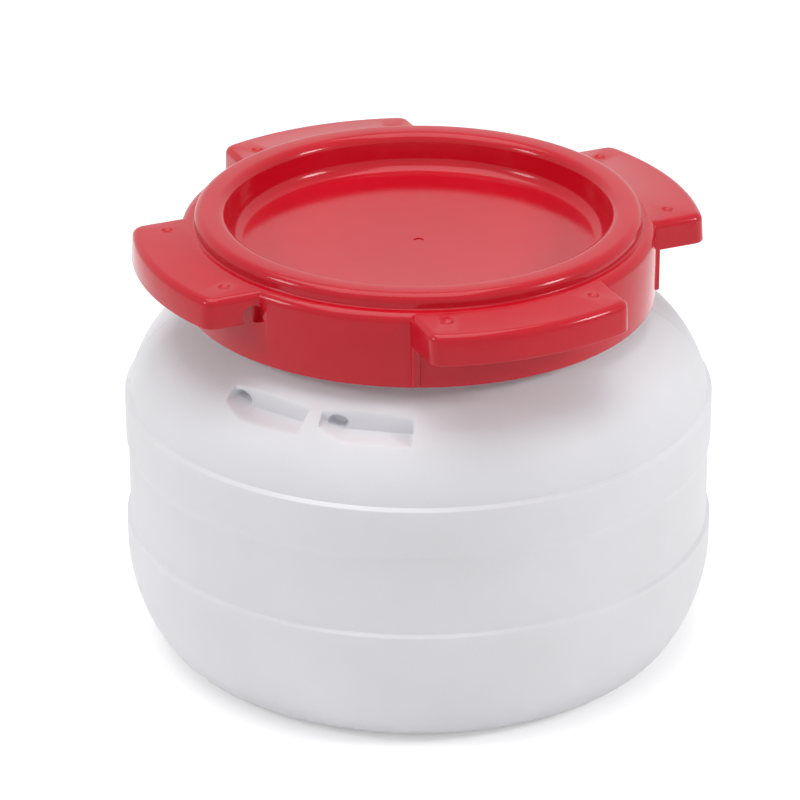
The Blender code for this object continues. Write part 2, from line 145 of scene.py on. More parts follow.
# Lid: its lugs and their cells, gussets, eyes and dimples, and the gate mark
LUG_ROOT_BITE = 0.0024
LUG_END_ROOT = math.sqrt(SKIRT_RADIUS ** 2 - LUG_HALF_WIDTH ** 2)
LUG_FOOT_ROUND = 0.0005
CELL_RIB = 0.0018
CELL_ROOT_GAP = 0.0003
CELL_OVERRUN = 0.0020
CELL_CORNER = 0.0010
GUSSET_BITE = 0.0014
GUSSET_REACH = 0.0019
GUSSET_WIDTH = 0.0030
GUSSET_MIDDLE = 0.0016
GUSSET_FOOT_RISE = 0.0006
GUSSET_HEAD_RISE = 0.0023
GUSSET_ROUND = 0.0007
EYE_LENGTH = 0.0086
EYE_INSET = 0.0040
EYE_SET_OUT = 0.0023
EYE_RISE = 0.0026
DIMPLE_RING = 0.0835
DIMPLE_AZIMUTH = math.radians(17.8)
GATE_RADIUS = 0.0018
GATE_FOOT_RADIUS = 0.0017
GATE_DEPTH = 0.0003
GATE_TOOL_HEIGHT = 0.0008

# Fineness of the turned shapes, and from what angle an edge is drawn sharp
TURN_STEPS = 256
SEAL_STEPS = 200
PLAIN_SECTOR_STEPS = 150
POCKET_SECTOR_STEPS = 220
LUG_ARC_STEPS = 16
ARC_STEP = math.radians(4.0)
BOWL_STEP = math.radians(2.4)
SHOULDER_STEP = math.radians(2.0)
WELD = 0.000002
BODY_SHARP = math.radians(38.0)
LID_SHARP = math.radians(32.0)

# Stage: the floor's shade and glow, and the camera's frame
FLOOR_DROP = 0.0002
FLOOR_SHADE = 0.92
FLOOR_GLOW = 0.34
SENSOR_WIDTH = 36.0
SHIFT = (-18.5 / 800.0, 37.7 / 800.0)


class DrumBodySettings(bpy.types.PropertyGroup):
    """Sizes and colour of the blown body."""

    radius: FloatProperty(
        name="Radius", description="Widest radius, at the lower ridge",
        default=0.0994, unit='LENGTH')
    wall: FloatProperty(
        name="Wall", description="Thickness of the blown wall", default=0.0022, unit='LENGTH')
    bowl_round: FloatProperty(
        name="Bowl round", description="Radius of the bowl under the lower ridge",
        default=0.0560, unit='LENGTH')
    heel_round: FloatProperty(
        name="Heel round", description="Radius of the heel above the standing ring",
        default=0.0140, unit='LENGTH')
    push_up: FloatProperty(
        name="Push-up", description="Height of the base's middle above the floor",
        default=0.0040, unit='LENGTH')
    shoulder_round: FloatProperty(
        name="Shoulder round", description="Radius of the shoulder's round edge",
        default=0.0360, unit='LENGTH')
    neck_height: FloatProperty(
        name="Neck height", description="Height of the neck above the shoulder",
        default=0.0270, unit='LENGTH')
    pocket_width: FloatProperty(
        name="Pocket width", description="Width of a seal-wire pocket",
        default=0.0300, unit='LENGTH')
    pocket_depth: FloatProperty(
        name="Pocket depth", description="Depth of a pocket at its floor",
        default=0.0083, unit='LENGTH')
    pocket_drop: FloatProperty(
        name="Pocket drop", description="Height from the neck's foot down to a pocket's floor",
        default=0.0132, unit='LENGTH')
    pit_depth: FloatProperty(
        name="Pit depth", description="Depth of the round pit at a pocket's left end",
        default=0.0034, unit='LENGTH')
    thread_lead: FloatProperty(
        name="Thread lead", description="Rise of the two-start thread in one turn",
        default=0.0130, unit='LENGTH')
    thread_height: FloatProperty(
        name="Thread height", description="How far the thread stands out of the neck",
        default=0.0027, unit='LENGTH')
    thread_width: FloatProperty(
        name="Thread width", description="Width of the thread at its root",
        default=0.0030, unit='LENGTH')
    colour: FloatVectorProperty(
        name="Colour", description="Colour of the body's plastic", subtype='COLOR',
        default=(0.800, 0.797, 0.835), min=0.0, max=1.0)
    scuff_colour: FloatVectorProperty(
        name="Scuff colour", description="Colour of the handled and cloudy places",
        subtype='COLOR', default=(0.735, 0.733, 0.760), min=0.0, max=1.0)


class LidSealSettings(bpy.types.PropertyGroup):
    """Sizes and colour of the foam seal."""

    thickness: FloatProperty(
        name="Thickness", description="Thickness of the seal", default=0.0025, unit='LENGTH')
    clearance: FloatProperty(
        name="Clearance", description="Gap round the seal", default=0.0003, unit='LENGTH')
    edge: FloatProperty(
        name="Edge", description="Width of the broken edges", default=0.0004, unit='LENGTH')
    colour: FloatVectorProperty(
        name="Colour", description="Colour of the foam", subtype='COLOR',
        default=(0.62, 0.62, 0.60), min=0.0, max=1.0)


class ScrewLidSettings(bpy.types.PropertyGroup):
    """Sizes and colour of the moulded lid."""

    lug_radius: FloatProperty(
        name="Lug radius", description="Radius of the lugs' round outside",
        default=0.0955, unit='LENGTH')
    lug_corner: FloatProperty(
        name="Lug corner", description="Round of a lug's upright corners",
        default=0.0030, unit='LENGTH')
    lug_edge: FloatProperty(
        name="Lug edge", description="Round of a lug's upper edge",
        default=0.0024, unit='LENGTH')
    lug_draft: FloatProperty(
        name="Lug draft", description="How far a lug's outer wall leans in towards its top",
        default=0.0008, unit='LENGTH')
    lug_wall: FloatProperty(
        name="Lug wall", description="Wall round a lug's cells", default=0.0023, unit='LENGTH')
    lug_cells: IntProperty(
        name="Lug cells", description="Cells under each lug", default=3, min=1, max=6)
    thread_height: FloatProperty(
        name="Thread height", description="How far the lid's thread stands into its bore",
        default=0.0027, unit='LENGTH')
    skirt_edge: FloatProperty(
        name="Skirt edge", description="Round of the skirt's upper edge",
        default=0.0032, unit='LENGTH')
    eye_radius: FloatProperty(
        name="Eye radius", description="Radius of the seal-wire eye in a lug's end wall",
        default=0.0036, unit='LENGTH')
    dimple_radius: FloatProperty(
        name="Dimple radius", description="Radius of the round dimples on a lug's top",
        default=0.0021, unit='LENGTH')
    dimple_depth: FloatProperty(
        name="Dimple depth", description="Depth of the round dimples", default=0.0008,
        unit='LENGTH')
    colour: FloatVectorProperty(
        name="Colour", description="Colour of the lid's plastic", subtype='COLOR',
        default=(0.570, 0.005, 0.018), min=0.0, max=1.0)
    deep_colour: FloatVectorProperty(
        name="Deep colour", description="Colour of the darker streaks in the moulding",
        subtype='COLOR', default=(0.520, 0.003, 0.015), min=0.0, max=1.0)


class StudioSettings(bpy.types.PropertyGroup):
    """Floor, lamps and camera."""

    floor_size: FloatProperty(
        name="Floor size", description="Side of the square floor", default=8.0, unit='LENGTH')
    sky_level: FloatProperty(
        name="Sky level", description="Plain light from the front", default=0.5, min=0.0)
    sky_share: FloatProperty(
        name="Sky share", description="Share of that light that the back of the sky gives",
        default=0.46, min=0.0, max=1.0)
    top_power: FloatProperty(
        name="Top power", description="Power of the lamp above", default=15.5, unit='POWER')
    top_size: FloatProperty(
        name="Top size", description="Side of the square lamp above", default=1.4,
        unit='LENGTH')
    top_shift: FloatProperty(
        name="Top shift", description="How far left of the drum the lamp above hangs",
        default=0.25, unit='LENGTH')
    top_height: FloatProperty(
        name="Top height", description="Height of the lamp above the floor", default=1.60,
        unit='LENGTH')
    left_power: FloatProperty(
        name="Left power", description="Power of the left lamp", default=2.1, unit='POWER')
    right_power: FloatProperty(
        name="Right power", description="Power of the right lamp", default=3.7, unit='POWER')
    lamp_size: FloatProperty(
        name="Lamp size", description="Side of each square lamp", default=0.24, unit='LENGTH')
    lamp_distance: FloatProperty(
        name="Lamp distance", description="Distance of the lamps from the drum",
        default=1.15, unit='LENGTH')
    lamp_side: FloatProperty(
        name="Lamp side", description="Angle of the lamps away from the front",
        default=math.radians(72.0), subtype='ANGLE')
    lamp_elevation: FloatProperty(
        name="Lamp elevation", description="Angle of the lamps above the floor",
        default=math.radians(30.0), subtype='ANGLE')
    camera_distance: FloatProperty(
        name="Camera distance", description="Distance from the camera to what it looks at",
        default=1.5, unit='LENGTH')
    camera_elevation: FloatProperty(
        name="Camera elevation", description="Angle of the camera above the floor",
        default=math.radians(25.58), subtype='ANGLE')
    aim_height: FloatProperty(
        name="Aim height", description="Height on the axis that the camera looks at",
        default=0.069, unit='LENGTH')
    lens: FloatProperty(
        name="Lens", description="Focal length", default=198.675, unit='CAMERA')


# Outlines drawn as wires in the XZ plane


def start_outline(radius, height):
    """A new bmesh with the first point of an outline, and that point."""
    bm = bmesh.new()
    return bm, bm.verts.new((radius, 0.0, height))


def draw_to(bm, tip, radius, height):
    """Draw a straight run on from the tip, and return the new tip."""
    grown = bmesh.ops.extrude_vert_indiv(bm, verts=[tip])["verts"]
    grown[0].co = (radius, 0.0, height)
    return grown[0]


def draw_path(bm, tip, points):
    """Draw straight runs on through several points."""
    for radius, height in points:
        tip = draw_to(bm, tip, radius, height)
    return tip


def draw_bend(bm, tip, centre, angle, step=ARC_STEP):
    """Draw a round run on from the tip about a centre; a positive angle turns it upwards."""
    steps = max(2, math.ceil(abs(angle) / step))
    drawn = bmesh.ops.spin(bm, geom=[tip], cent=(centre[0], 0.0, centre[1]),
                           axis=(0.0, -1.0, 0.0), angle=angle, steps=steps, use_merge=False)
    return [item for item in drawn["geom_last"] if isinstance(item, bmesh.types.BMVert)][0]


def round_corner(bm, radius, height, rounding):
    """Round the outline's corner nearest to a point."""
    place = Vector((radius, 0.0, height))
    vert = min(bm.verts, key=lambda item: (item.co - place).length)
    runs = [edge.other_vert(vert).co - vert.co for edge in vert.link_edges]
    turn = math.pi - runs[0].angle(runs[1])
    bmesh.ops.bevel(bm, geom=[vert], offset=rounding * math.tan(turn / 2), offset_type='OFFSET',
                    affect='VERTICES', segments=max(3, math.ceil(turn / math.radians(15))),
                    profile=0.5, material=-1)


def split_runs(bm, chosen, longest):
    """Split the outline's chosen runs until none is longer than a length."""
    for edge in chosen:
        cuts = math.ceil(edge.calc_length() / longest) - 1
        if cuts > 0:
            bmesh.ops.subdivide_edges(bm, edges=[edge], cuts=cuts)


def spin_full(bm, steps=TURN_STEPS):
    """Turn the whole outline about Z into a closed shape."""
    bmesh.ops.spin(bm, geom=bm.verts[:] + bm.edges[:], cent=(0, 0, 0), axis=(0, 0, 1),
                   angle=math.tau, steps=steps, use_merge=True)
    bmesh.ops.remove_doubles(bm, verts=bm.verts, dist=WELD)
    bmesh.ops.recalc_face_normals(bm, faces=bm.faces)


def spin_sectors(bm, sectors):
    """Turn the outline about Z in sectors of unlike fineness, given as start, angle and steps."""
    start = sectors[0][0]
    bmesh.ops.rotate(bm, verts=bm.verts, cent=(0, 0, 0), matrix=Matrix.Rotation(start, 3, 'Z'))
    tip = bm.verts[:] + bm.edges[:]
    for _, angle, steps in sectors:
        drawn = bmesh.ops.spin(bm, geom=tip, cent=(0, 0, 0), axis=(0, 0, 1), angle=angle,
                               steps=steps, use_merge=False)
        tip = drawn["geom_last"]
    bmesh.ops.remove_doubles(bm, verts=bm.verts, dist=WELD)
    bmesh.ops.recalc_face_normals(bm, faces=bm.faces)


def new_object(name, bm):
    """An object of a finished bmesh."""
    mesh = bpy.data.meshes.new(name)
    bm.to_mesh(mesh)
    bm.free()
    item = bpy.data.objects.new(name, mesh)
    bpy.context.scene.collection.objects.link(item)
    return item


def cut_or_join(target, bm, name, operation):
    """Cut or join the target with a bmesh, and keep the result as its mesh."""
    tool = new_object(name, bm)
    modifier = target.modifiers.new(name, 'BOOLEAN')
    modifier.operation = operation
    modifier.solver = 'EXACT'
    modifier.object = tool
    graph = bpy.context.evaluated_depsgraph_get()
    mesh = bpy.data.meshes.new_from_object(target.evaluated_get(graph))
    old = target.data
    target.modifiers.clear()
    target.data = mesh
    bpy.data.meshes.remove(old)
    bpy.data.objects.remove(tool, do_unlink=True)


def finish_piece(item, material, body, node, sharp=BODY_SHARP):
    """Close a piece's slits, give it its finish and set it on its body in place of its node."""
    bm = bmesh.new()
    bm.from_mesh(item.data)
    bmesh.ops.dissolve_degenerate(bm, edges=bm.edges, dist=WELD)
    slits = [edge for edge in bm.edges if edge.is_boundary]
    bmesh.ops.holes_fill(bm, edges=slits, sides=4)
    bm.to_mesh(item.data)
    bm.free()
    item.data.shade_smooth()
    item.data.set_sharp_from_angle(angle=sharp)
    item.data.materials.clear()
    item.data.materials.append(material)
    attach(item, body)
    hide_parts(node)


def smooth_step(low, high, value):
    """0 below low, 1 above high, and a smooth rise between them."""
    share = min(1.0, max(0.0, (value - low) / (high - low)))
    return share * share * (3.0 - 2.0 * share)


# Blown body


def shoulder_arc(body):
    """Centre of the shoulder's round edge."""
    return body.radius - SHOULDER_SET_IN - body.shoulder_round, UPPER_RIDGE_Z - SHOULDER_DROP


def cone_height(body, radius, inset):
    """Height of the shoulder's cone at a radius, inset below the outside."""
    bend = body.shoulder_round - inset
    arc_radius, arc_z = shoulder_arc(body)
    end_radius = arc_radius + bend * math.sin(SHOULDER_SLOPE)
    end_height = arc_z + bend * math.cos(SHOULDER_SLOPE)
    return end_height + (end_radius - radius) * math.tan(SHOULDER_SLOPE)


def neck_top(body):
    """Height of the neck's lip."""
    return cone_height(body, NECK_RADIUS, 0.0) + body.neck_height


def draw_bowl(bm, body, tip, inset):
    """Draw the wall from the middle of the base to the top of the bowl."""
    bowl = (body.radius - body.bowl_round, LOWER_RIDGE_Z - BOWL_STRAIGHT)
    drop = bowl[1] - body.heel_round
    reach = math.sqrt((body.bowl_round - body.heel_round) ** 2 - drop ** 2)
    heel = (bowl[0] + reach, body.heel_round)
    meet = math.atan2(drop, reach)
    inner = heel[0] - STAND_RING_WIDTH
    tip = draw_path(bm, tip, [(inner - PUSH_UP_RUN, body.push_up + inset), (inner, inset),
                              (heel[0], inset)])
    tip = draw_bend(bm, tip, heel, math.pi / 2 - meet)
    return draw_bend(bm, tip, bowl, meet, BOWL_STEP)


def draw_shoulder(bm, body, tip, inset, start_z, neck_radius, step):
    """Draw the wall from the foot of the shoulder to the foot of the neck."""
    centre = shoulder_arc(body)
    bend = body.shoulder_round - inset
    start = math.asin((start_z - centre[1]) / bend)
    tip = draw_to(bm, tip, centre[0] + bend * math.cos(start), start_z)
    tip = draw_bend(bm, tip, centre, math.pi / 2 - SHOULDER_SLOPE - start, step)
    return draw_to(bm, tip, neck_radius, cone_height(body, neck_radius, inset))


def body_outline(body):
    """The outline round the wall: up the outside, over the lip and down the inside."""
    band = body.radius - BAND_SET_IN
    upper = body.radius - UPPER_SET_IN
    raised_z = UPPER_RIDGE_Z - RAISED_BAND_HEIGHT
    shoulder_z = UPPER_RIDGE_Z + RIDGE_ROUND
    top = neck_top(body)
    bm, tip = start_outline(0.0, body.push_up)
    tip = draw_bowl(bm, body, tip, 0.0)
    tip = draw_path(bm, tip, [
        (body.radius, LOWER_RIDGE_Z), (band, LOWER_RIDGE_Z + RIDGE_ROUND),
        (band, raised_z - BAND_TAPER), (upper, raised_z), (upper, UPPER_RIDGE_Z)])
    tip = draw_shoulder(bm, body, tip, 0.0, shoulder_z, NECK_RADIUS, SHOULDER_STEP)
    tip = draw_path(bm, tip, [(NECK_RADIUS, top), (NECK_BORE, top)])
    tip = draw_to(bm, tip, NECK_BORE, cone_height(body, NECK_BORE, body.wall))
    down_bm, down_tip = start_outline(0.0, body.push_up + body.wall)
    down_tip = draw_bowl(down_bm, body, down_tip, body.wall)
    inner = band - body.wall
    down_tip = draw_path(down_bm, down_tip, [(inner, LOWER_RIDGE_Z), (inner, raised_z)])
    draw_shoulder(down_bm, body, down_tip, body.wall, UPPER_RIDGE_Z, NECK_BORE, ARC_STEP)
    inside = bpy.data.meshes.new("inside")
    down_bm.to_mesh(inside)
    down_bm.free()
    bm.from_mesh(inside)
    bpy.data.meshes.remove(inside)
    bmesh.ops.remove_doubles(bm, verts=bm.verts, dist=WELD)
    for radius, height, rounding in (
            (body.radius, LOWER_RIDGE_Z, RIDGE_EDGE),
            (band, LOWER_RIDGE_Z + RIDGE_ROUND, RIDGE_FOOT_ROUND),
            (band, raised_z - BAND_TAPER, BAND_BLEND),
            (upper, raised_z, BAND_BLEND),
            (upper, UPPER_RIDGE_Z, RIDGE_EDGE),
            (NECK_RADIUS, cone_height(body, NECK_RADIUS, 0.0), NECK_FOOT_ROUND),
            (NECK_RADIUS, top, LIP_ROUND),
            (NECK_BORE, top, LIP_ROUND),
            (NECK_BORE, cone_height(body, NECK_BORE, body.wall), NECK_FOOT_INNER_ROUND)):
        round_corner(bm, radius, height, rounding)
    return bm


def lies_deep(body, radius, height):
    """Whether a place near the shoulder is on the wall's inner side."""
    arc_radius, arc_z = shoulder_arc(body)
    in_bend = math.hypot(radius - arc_radius, height - arc_z) < body.shoulder_round - body.wall / 2
    return in_bend and cone_height(body, radius, 0.0) - height > body.wall / 2


def split_shoulder(bm, body):
    """Give the shoulder close rows, where the pockets lie."""
    neck_foot = cone_height(body, NECK_RADIUS, 0.0)
    low = neck_foot - body.pocket_drop - POCKET_ROWS_BELOW
    for inner, longest in ((False, POCKET_ROW_OUTSIDE), (True, POCKET_ROW_INSIDE)):
        chosen = []
        for edge in bm.edges:
            middle = (edge.verts[0].co + edge.verts[1].co) / 2
            if low < middle.z < neck_foot and middle.x > NECK_RADIUS \
                    and lies_deep(body, middle.x, middle.z) == inner:
                chosen.append(edge)
        split_runs(bm, chosen, longest)


def pocket_inside(body, along, height, foot, grow):
    """How far a place lies inside a pocket's outline, negative outside it."""
    half = body.pocket_width / 2 + grow
    side = half - abs(along)
    level = height - foot
    slope = Vector((POCKET_CORNER_RISE, POCKET_CORNER_WIDTH)).normalized()
    corner = slope.dot(Vector((along + half, height - foot - POCKET_CORNER_RISE)))
    return min(side, level, corner)


def press_pockets(bm, body):
    """Press the two seal-wire pockets and their pits into the shoulder, through the whole wall."""
    neck_foot = cone_height(body, NECK_RADIUS, 0.0)
    floor_z = neck_foot - body.pocket_drop
    arc_radius, arc_z = shoulder_arc(body)
    floor_angle = math.asin((floor_z - arc_z) / body.shoulder_round)
    back = arc_radius + body.shoulder_round * math.cos(floor_angle) - body.pocket_depth
    for vert in bm.verts:
        radius, height = math.hypot(vert.co.x, vert.co.y), vert.co.z
        if not (radius > NECK_RADIUS and UPPER_RIDGE_Z < height < neck_foot):
            continue
        grow = body.wall if lies_deep(body, radius, height) else 0.0
        for azimuth, pit_set_in in POCKETS:
            turned = Matrix.Rotation(-azimuth, 3, 'Z') @ vert.co
            if turned.x < 0.0 or abs(turned.y) > body.pocket_width:
                continue
            inside = pocket_inside(body, turned.y, height, floor_z - grow, grow)
            weight = smooth_step(-POCKET_EDGE, POCKET_EDGE, inside)
            if weight <= 0.0:
                continue
            wall_x = back - grow
            over = turned.x - wall_x
            sunk = wall_x + (over - math.sqrt(over * over + POCKET_RIM ** 2)) / 2
            pit = Vector(((turned.y + body.pocket_width / 2 - pit_set_in) / PIT_STRETCH,
                          height - floor_z - PIT_RADIUS)).length
            pit_weight = 1.0 - smooth_step(PIT_RADIUS + grow - PIT_EDGE,
                                           PIT_RADIUS + grow + PIT_EDGE, pit)
            sunk -= body.pit_depth * pit_weight
            turned.x += (min(sunk, turned.x) - turned.x) * weight
            vert.co = Matrix.Rotation(azimuth, 3, 'Z') @ turned


def thread_ridge(azimuth, start_z, root, crest, width, lead, turns):
    """One start of a thread: a rounded ridge that winds up and runs out flat at both ends."""
    direction = 1.0 if crest > root else -1.0
    sunk = root - direction * THREAD_ROOT_SINK
    shoulder = root + (crest - root) * THREAD_SHOULDER_SHARE
    wide, narrow = width * THREAD_SHOULDER_SPREAD, width * THREAD_CREST_SPREAD
    section = [(sunk, -width / 2), (root, -width / 2), (shoulder, -wide), (crest, -narrow),
               (crest, narrow), (shoulder, wide), (root, width / 2), (sunk, width / 2)]
    bm = bmesh.new()
    verts = [bm.verts.new((radius, 0.0, start_z + rise)) for radius, rise in section]
    face = bm.faces.new(verts)
    bmesh.ops.rotate(bm, verts=bm.verts, cent=(0, 0, 0), matrix=Matrix.Rotation(azimuth, 3, 'Z'))
    steps = round(THREAD_TURN_STEPS * turns)
    bmesh.ops.spin(bm, geom=[face], cent=(0, 0, 0), axis=(0, 0, 1), angle=math.tau * turns,
                   steps=steps, dvec=(0.0, 0.0, lead * turns / steps), use_merge=False)
    for vert in bm.verts:
        radius = math.hypot(vert.co.x, vert.co.y)
        share = (vert.co.z - start_z) / (lead * turns)
        from_end = min(share, 1.0 - share) * turns
        rise = smooth_step(THREAD_TAPER_START, THREAD_TAPER_TURN, from_end)
        lowered = sunk + (radius - sunk) * max(THREAD_TIP_SHARE, rise)
        vert.co.x *= lowered / radius
        vert.co.y *= lowered / radius
    bmesh.ops.recalc_face_normals(bm, faces=bm.faces)
    return bm


def copies(bm, turns):
    """The shape once for each turn, all in one bmesh."""
    mesh = bpy.data.meshes.new("copies")
    bm.to_mesh(mesh)
    bm.clear()
    for turn in turns:
        before = set(bm.verts)
        bm.from_mesh(mesh)
        fresh = [vert for vert in bm.verts if vert not in before]
        bmesh.ops.rotate(bm, verts=fresh, cent=(0, 0, 0), matrix=turn)
    bpy.data.meshes.remove(mesh)
    return bm


def two_starts(azimuth, start_z, root, crest, width, lead, turns):
    """Both starts of a thread, half a turn apart."""
    ridge = thread_ridge(azimuth, start_z, root, crest, width, lead, turns)
    return copies(ridge, [Matrix.Rotation(angle, 3, 'Z') for angle in (0.0, math.pi)])


def box_shape(size, middle):
    """A box of a size about a middle."""
    bm = bmesh.new()
    bmesh.ops.create_cube(bm, size=1.0)
    bmesh.ops.scale(bm, vec=size, verts=bm.verts)
    bmesh.ops.translate(bm, vec=middle, verts=bm.verts)
    return bm


def base_seam(body):
    """The pinched seam across the base, where the mould halves met."""
    bm = box_shape((SEAM_LENGTH, SEAM_WIDTH, 2 * SEAM_HEIGHT), (0.0, 0.0, body.push_up))
    low = [edge for edge in bm.edges if max(vert.co.z for vert in edge.verts) < body.push_up]
    round_edges(bm, low, SEAM_ROUND, 3)
    return bm


# Finishes


def start_material(name):
    """A new node material and its shader."""
    material = bpy.data.materials.new(name)
    material.use_nodes = True
    return material, material.node_tree.nodes["Principled BSDF"]


def add_node(material, kind, **values):
    """A node with its settings and its named input values."""
    node = material.node_tree.nodes.new(kind)
    for key, value in values.items():
        if key in node.inputs:
            node.inputs[key].default_value = value
        else:
            setattr(node, key, value)
    return node


def link(material, source, output, target, socket):
    """Join a node's output to another node's input."""
    material.node_tree.links.new(source.outputs[output], target.inputs[socket])


def place_node(material, scale):
    """Object coordinates, stretched by a scale."""
    coordinates = add_node(material, "ShaderNodeTexCoord")
    mapping = add_node(material, "ShaderNodeMapping", Scale=scale)
    link(material, coordinates, "Object", mapping, "Vector")
    return mapping


def noise_node(material, mapping, scale, detail, roughness=0.5):
    """A noise pattern on a mapping."""
    noise = add_node(material, "ShaderNodeTexNoise", Scale=scale, Detail=detail,
                     Roughness=roughness)
    link(material, mapping, "Vector", noise, "Vector")
    return noise


def range_node(material, source, output, low, high, to_low, to_high):
    """A value stretched from one range to another and held at its ends."""
    node = add_node(material, "ShaderNodeMapRange", **{
        "From Min": low, "From Max": high, "To Min": to_low, "To Max": to_high})
    link(material, source, output, node, "Value")
    return node


def mix_colours(material, first, second, source, output):
    """A colour between two colours by a value."""
    node = add_node(material, "ShaderNodeMix", data_type='RGBA')
    for socket, colour in ((6, first), (7, second)):
        if hasattr(colour, "outputs"):
            material.node_tree.links.new(colour.outputs[2], node.inputs[socket])
        else:
            node.inputs[socket].default_value = (*colour, 1.0)
    material.node_tree.links.new(source.outputs[output], node.inputs[0])
    return node


def bump_node(material, height, output, strength, distance, below=None):
    """A bump, set on top of another bump where one is given."""
    node = add_node(material, "ShaderNodeBump", Strength=strength, Distance=distance)
    link(material, height, output, node, "Height")
    if below:
        link(material, below, "Normal", node, "Normal")
    return node


def drum_plastic(body):
    """Natural white blown plastic: a waxy skin, cloudy marks, a scuffed foot and a parting line."""
    material, shader = start_material("drum_plastic")
    plain = place_node(material, (1.0, 1.0, 1.0))
    streaked = place_node(material, (1.0, 1.0, 0.12))
    clouds = noise_node(material, plain, 11.0, 4.0, 0.55)
    blend = range_node(material, clouds, "Fac", 0.35, 0.72, 0.0, 1.0)
    cloudy = mix_colours(material, tuple(body.colour), tuple(body.scuff_colour), blend, "Result")
    rubbed = noise_node(material, place_node(material, (1.0, 1.0, 3.0)), 120.0, 5.0, 0.7)
    parts = add_node(material, "ShaderNodeSeparateXYZ")
    link(material, plain, "Vector", parts, "Vector")
    low = range_node(material, parts, "Z", 0.0, 0.010, 1.0, 0.0)
    grains = range_node(material, rubbed, "Fac", 0.48, 0.72, 0.0, 0.6)
    scuffs = add_node(material, "ShaderNodeMath", operation='MULTIPLY')
    link(material, low, "Result", scuffs, 0)
    link(material, grains, "Result", scuffs, 1)
    colour = mix_colours(material, cloudy, tuple(0.80 * part for part in body.scuff_colour),
                         scuffs, "Value")
    material.node_tree.links.new(colour.outputs[2], shader.inputs["Base Color"])
    scratches = noise_node(material, streaked, 160.0, 6.0, 0.65)
    gloss = range_node(material, scratches, "Fac", 0.30, 0.75, 0.36, 0.50)
    link(material, gloss, "Result", shader, "Roughness")
    waves = noise_node(material, streaked, 28.0, 2.0)
    skin = noise_node(material, plain, 950.0, 3.0)
    waviness = bump_node(material, waves, "Fac", 0.35, 0.0008)
    pores = bump_node(material, skin, "Fac", 0.25, 0.00015, waviness)
    away = add_node(material, "ShaderNodeMath", operation='ABSOLUTE')
    link(material, parts, "Y", away, "Value")
    seam = range_node(material, away, "Value", 0.0, 0.0007, 1.0, 0.0)
    parting = bump_node(material, seam, "Result", 0.7, 0.0004, pores)
    link(material, parting, "Normal", shader, "Normal")
    shader.inputs["IOR"].default_value = 1.50
    shader.inputs["Specular IOR Level"].default_value = 0.30
    shader.inputs["Subsurface Weight"].default_value = 0.12
    shader.inputs["Subsurface Radius"].default_value = (1.0, 0.95, 0.90)
    shader.inputs["Subsurface Scale"].default_value = 0.004
    return material


def lid_plastic(lid):
    """Red moulded plastic: a gloss with a fine skin, flow streaks and rubbed places."""
    material, shader = start_material("lid_plastic")
    plain = place_node(material, (1.0, 1.0, 1.0))
    flow = place_node(material, (1.0, 0.35, 1.0))
    clouds = noise_node(material, flow, 26.0, 3.0, 0.55)
    blend = range_node(material, clouds, "Fac", 0.38, 0.68, 0.0, 1.0)
    colour = mix_colours(material, tuple(lid.colour), tuple(lid.deep_colour), blend, "Result")
    material.node_tree.links.new(colour.outputs[2], shader.inputs["Base Color"])
    rubs = noise_node(material, plain, 210.0, 5.0, 0.65)
    gloss = range_node(material, rubs, "Fac", 0.35, 0.75, 0.10, 0.18)
    link(material, gloss, "Result", shader, "Roughness")
    skin = noise_node(material, plain, 1300.0, 2.0)
    waves = noise_node(material, plain, 45.0, 2.0)
    waviness = bump_node(material, waves, "Fac", 0.20, 0.0004)
    pores = bump_node(material, skin, "Fac", 0.20, 0.00008, waviness)
    link(material, pores, "Normal", shader, "Normal")
    shader.inputs["IOR"].default_value = 1.50
    shader.inputs["Specular IOR Level"].default_value = 0.30
    return material


def seal_foam(seal):
    """Closed-cell foam: fine cells and a matt, slightly mottled skin."""
    material, shader = start_material("seal_foam")
    plain = place_node(material, (1.0, 1.0, 1.0))
    cells = add_node(material, "ShaderNodeTexVoronoi", Scale=1100.0)
    link(material, plain, "Vector", cells, "Vector")
    mottle = noise_node(material, plain, 90.0, 3.0)
    darker = tuple(0.82 * channel for channel in seal.colour)
    colour = mix_colours(material, tuple(seal.colour), darker, mottle, "Fac")
    material.node_tree.links.new(colour.outputs[2], shader.inputs["Base Color"])
    matt = range_node(material, mottle, "Fac", 0.3, 0.7, 0.70, 0.85)
    link(material, matt, "Result", shader, "Roughness")
    pores = bump_node(material, cells, "Distance", 0.5, 0.0003)
    link(material, pores, "Normal", shader, "Normal")
    return material


# Moulded lid


